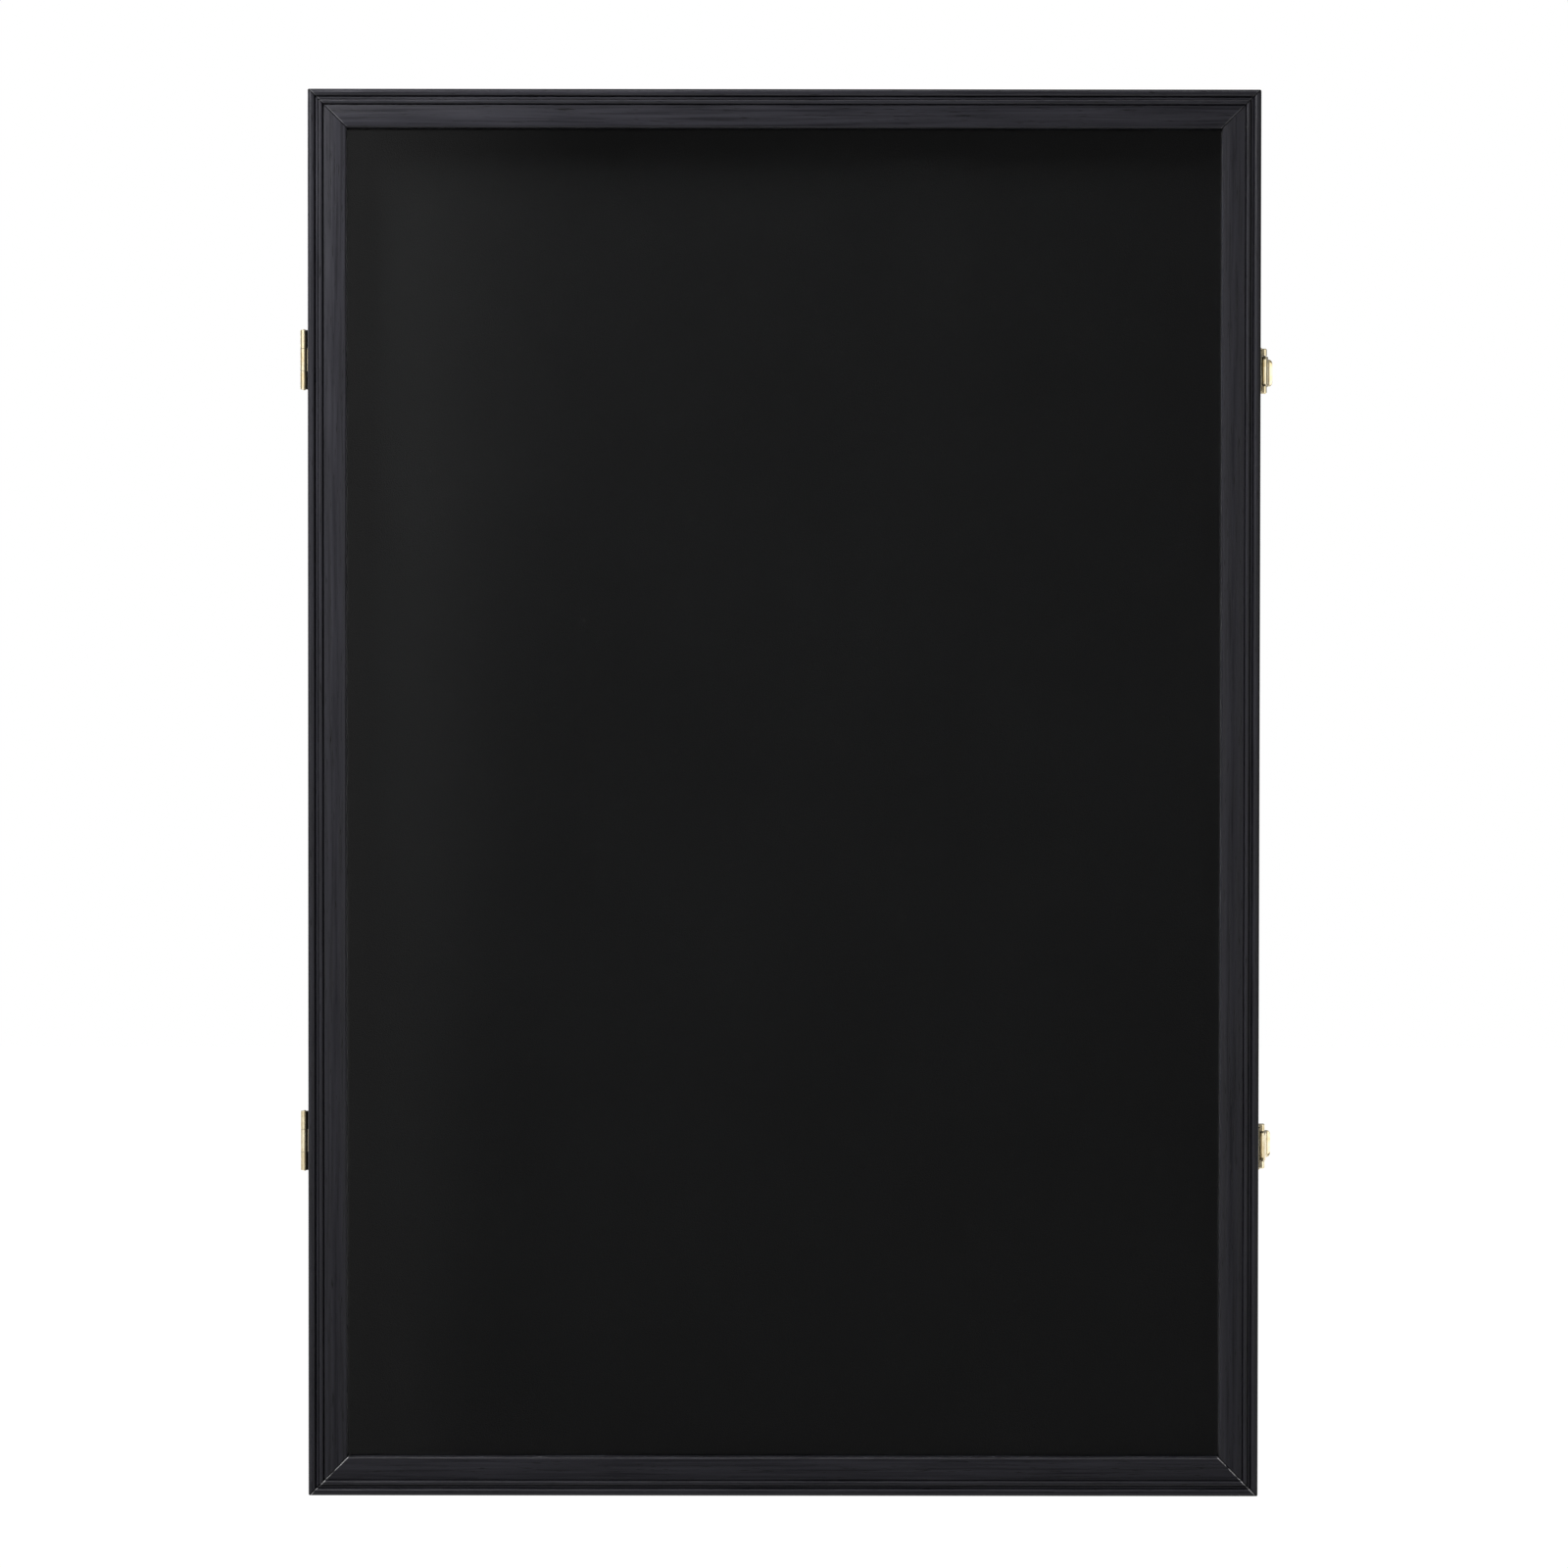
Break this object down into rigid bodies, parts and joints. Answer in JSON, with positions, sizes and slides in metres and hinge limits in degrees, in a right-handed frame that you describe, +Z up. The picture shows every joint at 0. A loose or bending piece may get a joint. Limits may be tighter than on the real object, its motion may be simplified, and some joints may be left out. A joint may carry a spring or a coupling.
{
  "type": "jersey display case",
  "caption": "Shallow wall-hung shadow box with a moulded black frame, felt back and a clear glazed door on side hinges with snap latches.",
  "frame": {"origin": "centre of the back panel's rear face, flush with the box's back edges", "axes": "+Z up, +X to the latch side, -Y out of the front of the door; the case hangs with +Y to the wall"},
  "size_m": [0.6272, 0.0508, 0.902],
  "materials": {
    "black_wood": "satin black paint over fine grain",
    "black_board": "smooth black-faced fibreboard",
    "black_felt": "short-napped black felt",
    "clear_acrylic": "clear acrylic sheet",
    "polished_brass": "polished brass plate",
    "zinc_steel": "zinc-plated steel",
    "bumper_rubber": "soft black rubber"
  },
  "bodies": {
    "case": {"box_rail_top": "black_wood", "box_rail_bottom": "black_wood", "box_rail_left": "black_wood", "box_rail_right": "black_wood", "back_panel": "black_board", "back_panel_screws": "zinc_steel", "felt_lining": "black_felt", "box_v_nails": "zinc_steel", "left_wall_hanger": "zinc_steel", "right_wall_hanger": "zinc_steel", "wall_hanger_nails": "zinc_steel", "left_wall_bumper": "bumper_rubber", "right_wall_bumper": "bumper_rubber", "upper_hinge_box_leaf": "polished_brass", "upper_hinge_pin": "polished_brass", "upper_hinge_box_screws": "polished_brass", "upper_latch_strike": "polished_brass", "upper_latch_strike_screws": "polished_brass", "lower_hinge_box_leaf": "polished_brass", "lower_hinge_pin": "polished_brass", "lower_hinge_box_screws": "polished_brass", "lower_latch_strike": "polished_brass", "lower_latch_strike_screws": "polished_brass"},
    "door": {"door_rail_top": "black_wood", "door_rail_bottom": "black_wood", "door_rail_left": "black_wood", "door_rail_right": "black_wood", "door_pane": "clear_acrylic", "glazing_strip_top": "black_wood", "glazing_strip_bottom": "black_wood", "glazing_strip_left": "black_wood", "glazing_strip_right": "black_wood", "glazing_brads": "zinc_steel", "door_v_nails": "zinc_steel", "upper_hinge_door_leaf": "polished_brass", "upper_hinge_door_screws": "polished_brass", "upper_latch_base": "polished_brass", "upper_latch_pin": "polished_brass", "upper_latch_base_screws": "polished_brass", "lower_hinge_door_leaf": "polished_brass", "lower_hinge_door_screws": "polished_brass", "lower_latch_base": "polished_brass", "lower_latch_pin": "polished_brass", "lower_latch_base_screws": "polished_brass"},
    "upper_latch_lever": {"upper_latch_lever": "polished_brass"},
    "lower_latch_lever": {"lower_latch_lever": "polished_brass"}
  },
  "joints": [
    {"name": "door_hinge", "type": "hinge", "parent": "case", "child": "door", "pos_m": [-0.309, -0.0303, 0], "axis": [0, 0, -1], "range_deg": [0, 180]},
    {"name": "upper_latch_pivot", "type": "hinge", "parent": "door", "child": "upper_latch_lever", "pos_m": [0.3084, -0.0348, 0.272], "axis": [0, 0, -1], "range_deg": [0, 150]},
    {"name": "lower_latch_pivot", "type": "hinge", "parent": "door", "child": "lower_latch_lever", "pos_m": [0.3084, -0.0348, -0.2266], "axis": [0, 0, -1], "range_deg": [0, 150]}
  ]
}
